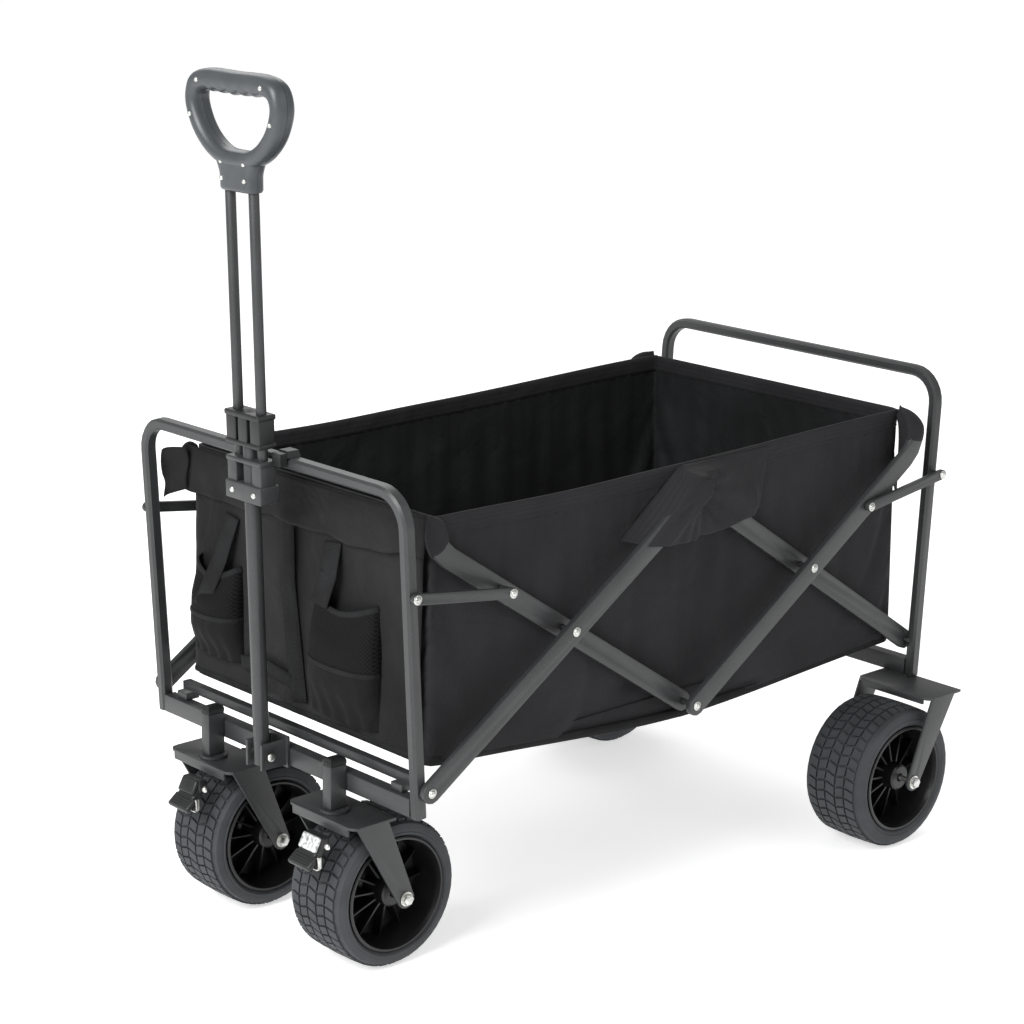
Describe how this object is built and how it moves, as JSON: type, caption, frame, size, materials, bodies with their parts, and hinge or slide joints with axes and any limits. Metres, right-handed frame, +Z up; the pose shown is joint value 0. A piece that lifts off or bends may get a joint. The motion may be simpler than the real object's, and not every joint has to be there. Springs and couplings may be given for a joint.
{
  "type": "folding camp wagon",
  "caption": "Folding four-wheel camp wagon: fabric tub in a scissor frame, swivel front casters and a telescopic pull handle.",
  "frame": {"origin": "middle of the wagon's footprint, on the ground", "axes": "+X towards the rear of the wagon, +Y towards its right side, +Z up"},
  "size_m": [1.013, 0.6876, 1.0711],
  "materials": {
    "steel": "dark grey powder coat, satin",
    "zinc": "bright zinc plate",
    "plastic": "moulded, fine grain",
    "grip": "moulded, satin",
    "fabric": "woven polyester, matt",
    "tyre": "moulded rubber, matt"
  },
  "bodies": {
    "front_frame": {"front_frame_tube": "steel", "front_crossbeam": "steel", "front_lower_rail": "steel", "caster_post_left": "steel", "caster_post_right": "steel", "post_cap_left": "plastic", "post_cap_right": "plastic", "swivel_bearing_left": "zinc", "swivel_bearing_right": "zinc", "handle_bracket": "steel", "handle_pivot_pin": "zinc", "handle_clip": "plastic", "tub_front_wall": "fabric", "tub_side_left": "fabric", "tub_side_right": "fabric"},
    "front_foot_bars": {"front_foot_bar_left": "steel", "front_foot_bar_right": "steel"},
    "front_corner_bars": {"front_corner_bar_left": "steel", "front_corner_bar_right": "steel", "mid_cross_tube": "steel"},
    "rear_foot_bars": {"rear_foot_bar_left": "steel", "rear_foot_bar_right": "steel"},
    "rear_corner_bars": {"rear_corner_bar_left": "steel", "rear_corner_bar_right": "steel"},
    "rear_frame": {"rear_frame_tube": "steel", "rear_crossbeam": "steel", "rear_bracket_left": "steel", "rear_bracket_right": "steel", "rear_axle_left": "zinc", "rear_axle_right": "zinc", "tub_rear_wall": "fabric"},
    "front_braces": {"front_brace_left": "steel", "front_brace_right": "steel"},
    "rear_braces": {"rear_brace_left": "steel", "rear_brace_right": "steel"},
    "floor_front": {"floor_panel_front": "fabric", "floor_rail_front": "steel"},
    "floor_rear": {"floor_panel_rear": "fabric", "floor_rail_rear": "steel"},
    "handle": {"handle_tube": "steel", "upper_collar": "plastic"},
    "handle_slider": {"handle_rod_left": "steel", "handle_rod_right": "steel", "lower_collar": "plastic", "grip_front_shell": "grip", "grip_back_shell": "grip"},
    "caster_left": {"caster_fork_left": "steel", "caster_axle_left": "zinc"},
    "front_wheel_left": {"front_wheel_left_tyre": "tyre", "front_wheel_left_rim": "plastic"},
    "brake_left": {"brake_pedal_left": "plastic"},
    "rear_wheel_left": {"rear_wheel_left_tyre": "tyre", "rear_wheel_left_rim": "plastic"},
    "caster_right": {"caster_fork_right": "steel", "caster_axle_right": "zinc"},
    "front_wheel_right": {"front_wheel_right_tyre": "tyre", "front_wheel_right_rim": "plastic"},
    "brake_right": {"brake_pedal_right": "plastic"},
    "rear_wheel_right": {"rear_wheel_right_tyre": "tyre", "rear_wheel_right_rim": "plastic"}
  },
  "joints": [
    {"name": "fold", "type": "hinge", "parent": "front_frame", "child": "front_foot_bars", "pos_m": [-0.4114, 0, 0.261], "axis": [0, -1, 0], "range_deg": [0, 44], "deforming": ["tub_side_left", "tub_side_right"]},
    {"name": "front_cross_pin", "type": "hinge", "parent": "front_foot_bars", "child": "front_corner_bars", "pos_m": [-0.185, 0, 0.41085], "axis": [0, -1, 0], "range_deg": [-88.5, 0.5]},
    {"name": "peak_pin", "type": "hinge", "parent": "front_foot_bars", "child": "rear_foot_bars", "pos_m": [0.02898, 0, 0.55248], "axis": [0, -1, 0], "range_deg": [-88.5, 0.5]},
    {"name": "rear_cross_pin", "type": "hinge", "parent": "rear_foot_bars", "child": "rear_corner_bars", "pos_m": [0.2428, 0, 0.41085], "axis": [0, -1, 0], "range_deg": [-0.5, 88.5]},
    {"name": "rear_foot_pin", "type": "hinge", "parent": "rear_foot_bars", "child": "rear_frame", "pos_m": [0.4692, 0, 0.261], "axis": [0, -1, 0], "range_deg": [-0.5, 44.5]},
    {"name": "front_brace_pin", "type": "hinge", "parent": "front_frame", "child": "front_braces", "pos_m": [-0.43279, 0, 0.4983], "axis": [0, -1, 0], "range_deg": [-0.5, 79]},
    {"name": "rear_brace_pin", "type": "hinge", "parent": "rear_frame", "child": "rear_braces", "pos_m": [0.4906, 0, 0.4983], "axis": [0, -1, 0], "range_deg": [-79, 0.5]},
    {"name": "floor_front_hinge", "type": "hinge", "parent": "front_frame", "child": "floor_front", "pos_m": [-0.3746, 0, 0.29], "axis": [0, -1, 0], "range_deg": [-0.5, 89]},
    {"name": "floor_rear_hinge", "type": "hinge", "parent": "rear_frame", "child": "floor_rear", "pos_m": [0.4324, 0, 0.29], "axis": [0, -1, 0], "range_deg": [-89, 0.5]},
    {"name": "handle_tilt", "type": "hinge", "parent": "front_frame", "child": "handle", "pos_m": [-0.4546, 0, 0.245], "axis": [0, -1, 0], "range_deg": [0, 95]},
    {"name": "handle_slide", "type": "slide", "parent": "handle", "child": "handle_slider", "axis": [-0.026, 0, 0.9997], "range_m": [-0.25, 0]},
    {"name": "caster_swivel_left", "type": "hinge", "parent": "front_frame", "child": "caster_left", "pos_m": [-0.4391, -0.1225, 0.2035], "axis": [0, 0, 1], "continuous": true},
    {"name": "front_wheel_spin_left", "type": "hinge", "parent": "caster_left", "child": "front_wheel_left", "pos_m": [-0.3811, -0.1225, 0.0946], "axis": [0, 1, 0], "continuous": true},
    {"name": "brake_pedal_left", "type": "hinge", "parent": "caster_left", "child": "brake_left", "pos_m": [-0.4706, -0.1345, 0.185], "axis": [0, 1, 0], "range_deg": [-18, 0]},
    {"name": "rear_wheel_spin_left", "type": "hinge", "parent": "rear_frame", "child": "rear_wheel_left", "pos_m": [0.3868, -0.273, 0.0982], "axis": [0, 1, 0], "continuous": true},
    {"name": "caster_swivel_right", "type": "hinge", "parent": "front_frame", "child": "caster_right", "pos_m": [-0.4391, 0.1225, 0.2035], "axis": [0, 0, 1], "continuous": true},
    {"name": "front_wheel_spin_right", "type": "hinge", "parent": "caster_right", "child": "front_wheel_right", "pos_m": [-0.3811, 0.1225, 0.0946], "axis": [0, 1, 0], "continuous": true},
    {"name": "brake_pedal_right", "type": "hinge", "parent": "caster_right", "child": "brake_right", "pos_m": [-0.4706, 0.1105, 0.185], "axis": [0, 1, 0], "range_deg": [-18, 0]},
    {"name": "rear_wheel_spin_right", "type": "hinge", "parent": "rear_frame", "child": "rear_wheel_right", "pos_m": [0.3868, 0.273, 0.0982], "axis": [0, 1, 0], "continuous": true}
  ],
  "couplings": [
    {"joint": "front_cross_pin", "follows": "fold", "ratio": -2},
    {"joint": "peak_pin", "follows": "fold", "ratio": -2},
    {"joint": "rear_cross_pin", "follows": "fold", "ratio": 2},
    {"joint": "rear_foot_pin", "follows": "fold", "ratio": 1},
    {"joint": "front_brace_pin", "follows": "fold", "ratio": 1.7664},
    {"joint": "rear_brace_pin", "follows": "fold", "ratio": -1.7664},
    {"joint": "floor_front_hinge", "follows": "fold", "ratio": 2},
    {"joint": "floor_rear_hinge", "follows": "fold", "ratio": -2}
  ]
}
